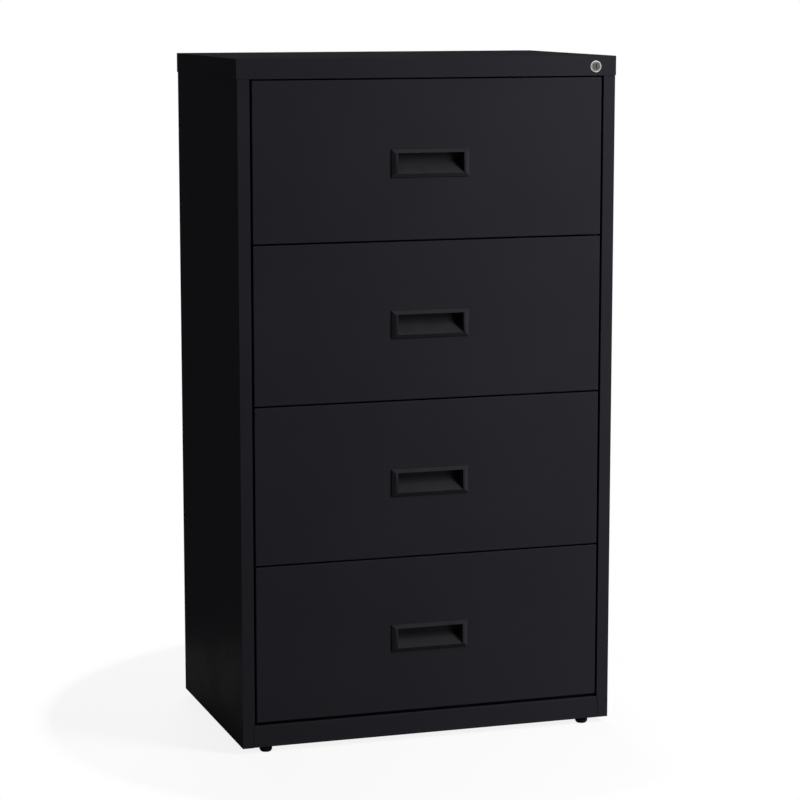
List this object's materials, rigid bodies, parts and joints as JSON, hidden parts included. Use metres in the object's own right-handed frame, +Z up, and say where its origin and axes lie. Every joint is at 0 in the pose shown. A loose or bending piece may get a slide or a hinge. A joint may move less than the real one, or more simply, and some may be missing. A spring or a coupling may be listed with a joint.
{
  "type": "lateral filing cabinet",
  "caption": "Tall lateral filing cabinet in folded sheet steel with wide full-width drawers on telescopic slides, recessed pulls, a lock bar and levelling glides.",
  "frame": {"origin": "on the floor, under the middle of the bounding box", "axes": "+Z up, the drawer fronts face -Y, +X to the right of someone facing them"},
  "size_m": [0.762, 0.4806, 1.3335],
  "materials": {
    "black_paint": "satin powder coat with a faint texture",
    "black_plastic": "moulded, satin",
    "black_nylon": "moulded, matt",
    "zinc_steel": "bright zinc plate",
    "raw_steel": "hot-rolled, oiled",
    "nickel": "polished nickel plate"
  },
  "bodies": {
    "case": {"left_side_panel": "black_paint", "right_side_panel": "black_paint", "back_panel": "black_paint", "top_cap": "black_paint", "front_base_rail": "black_paint", "rear_base_rail": "black_paint", "bottom_panel": "black_paint", "counterweight": "raw_steel", "left_front_upright": "zinc_steel", "left_rear_upright": "zinc_steel", "right_front_upright": "zinc_steel", "right_rear_upright": "zinc_steel", "lock_barrel": "nickel", "drawer_1_left_slide_outer": "zinc_steel", "drawer_1_right_slide_outer": "zinc_steel", "drawer_2_left_slide_outer": "zinc_steel", "drawer_2_right_slide_outer": "zinc_steel", "drawer_3_left_slide_outer": "zinc_steel", "drawer_3_right_slide_outer": "zinc_steel", "drawer_4_left_slide_outer": "zinc_steel", "drawer_4_right_slide_outer": "zinc_steel"},
    "drawer_1": {"drawer_1_front": "black_paint", "drawer_1_pull": "black_plastic", "drawer_1_tray": "black_paint", "drawer_1_hang_rail": "zinc_steel", "drawer_1_left_slide_inner": "zinc_steel", "drawer_1_right_slide_inner": "zinc_steel"},
    "drawer_1_middle_members": {"drawer_1_left_slide_middle": "zinc_steel", "drawer_1_right_slide_middle": "zinc_steel"},
    "drawer_2": {"drawer_2_front": "black_paint", "drawer_2_pull": "black_plastic", "drawer_2_tray": "black_paint", "drawer_2_hang_rail": "zinc_steel", "drawer_2_left_slide_inner": "zinc_steel", "drawer_2_right_slide_inner": "zinc_steel"},
    "drawer_2_middle_members": {"drawer_2_left_slide_middle": "zinc_steel", "drawer_2_right_slide_middle": "zinc_steel"},
    "drawer_3": {"drawer_3_front": "black_paint", "drawer_3_pull": "black_plastic", "drawer_3_tray": "black_paint", "drawer_3_hang_rail": "zinc_steel", "drawer_3_left_slide_inner": "zinc_steel", "drawer_3_right_slide_inner": "zinc_steel"},
    "drawer_3_middle_members": {"drawer_3_left_slide_middle": "zinc_steel", "drawer_3_right_slide_middle": "zinc_steel"},
    "drawer_4": {"drawer_4_front": "black_paint", "drawer_4_pull": "black_plastic", "drawer_4_tray": "black_paint", "drawer_4_hang_rail": "zinc_steel", "drawer_4_left_slide_inner": "zinc_steel", "drawer_4_right_slide_inner": "zinc_steel"},
    "drawer_4_middle_members": {"drawer_4_left_slide_middle": "zinc_steel", "drawer_4_right_slide_middle": "zinc_steel"},
    "lock_plug": {"lock_plug": "nickel", "lock_cam": "zinc_steel"},
    "lock_bar": {"lock_bar": "zinc_steel"},
    "front_left_glide": {"front_left_glide": "black_nylon"},
    "front_right_glide": {"front_right_glide": "black_nylon"},
    "rear_left_glide": {"rear_left_glide": "black_nylon"},
    "rear_right_glide": {"rear_right_glide": "black_nylon"}
  },
  "joints": [
    {"name": "drawer_1_slide", "type": "slide", "parent": "case", "child": "drawer_1", "axis": [0, -1, 0], "range_m": [0, 0.4]},
    {"name": "drawer_1_middle_slide", "type": "slide", "parent": "case", "child": "drawer_1_middle_members", "axis": [0, -1, 0], "range_m": [0, 0.2]},
    {"name": "drawer_2_slide", "type": "slide", "parent": "case", "child": "drawer_2", "axis": [0, -1, 0], "range_m": [0, 0.4]},
    {"name": "drawer_2_middle_slide", "type": "slide", "parent": "case", "child": "drawer_2_middle_members", "axis": [0, -1, 0], "range_m": [0, 0.2]},
    {"name": "drawer_3_slide", "type": "slide", "parent": "case", "child": "drawer_3", "axis": [0, -1, 0], "range_m": [0, 0.4]},
    {"name": "drawer_3_middle_slide", "type": "slide", "parent": "case", "child": "drawer_3_middle_members", "axis": [0, -1, 0], "range_m": [0, 0.2]},
    {"name": "drawer_4_slide", "type": "slide", "parent": "case", "child": "drawer_4", "axis": [0, -1, 0], "range_m": [0, 0.4]},
    {"name": "drawer_4_middle_slide", "type": "slide", "parent": "case", "child": "drawer_4_middle_members", "axis": [0, -1, 0], "range_m": [0, 0.2]},
    {"name": "lock_turn", "type": "hinge", "parent": "case", "child": "lock_plug", "pos_m": [0.3388, -0.23275, 1.313], "axis": [0, 1, 0], "range_deg": [0, 90]},
    {"name": "lock_bar_drop", "type": "slide", "parent": "case", "child": "lock_bar", "axis": [0, 0, -1], "range_m": [0, 0.0127]},
    {"name": "front_left_glide_screw", "type": "slide", "parent": "case", "child": "front_left_glide", "axis": [0, 0, 1], "range_m": [-0.012, 0]},
    {"name": "front_right_glide_screw", "type": "slide", "parent": "case", "child": "front_right_glide", "axis": [0, 0, 1], "range_m": [-0.012, 0]},
    {"name": "rear_left_glide_screw", "type": "slide", "parent": "case", "child": "rear_left_glide", "axis": [0, 0, 1], "range_m": [-0.012, 0]},
    {"name": "rear_right_glide_screw", "type": "slide", "parent": "case", "child": "rear_right_glide", "axis": [0, 0, 1], "range_m": [-0.012, 0]}
  ],
  "couplings": [
    {"joint": "drawer_1_middle_slide", "follows": "drawer_1_slide", "ratio": 0.5},
    {"joint": "drawer_2_middle_slide", "follows": "drawer_2_slide", "ratio": 0.5},
    {"joint": "drawer_3_middle_slide", "follows": "drawer_3_slide", "ratio": 0.5},
    {"joint": "drawer_4_middle_slide", "follows": "drawer_4_slide", "ratio": 0.5},
    {"joint": "lock_turn", "follows": "lock_bar_drop", "rad_per_m": 123.41}
  ]
}
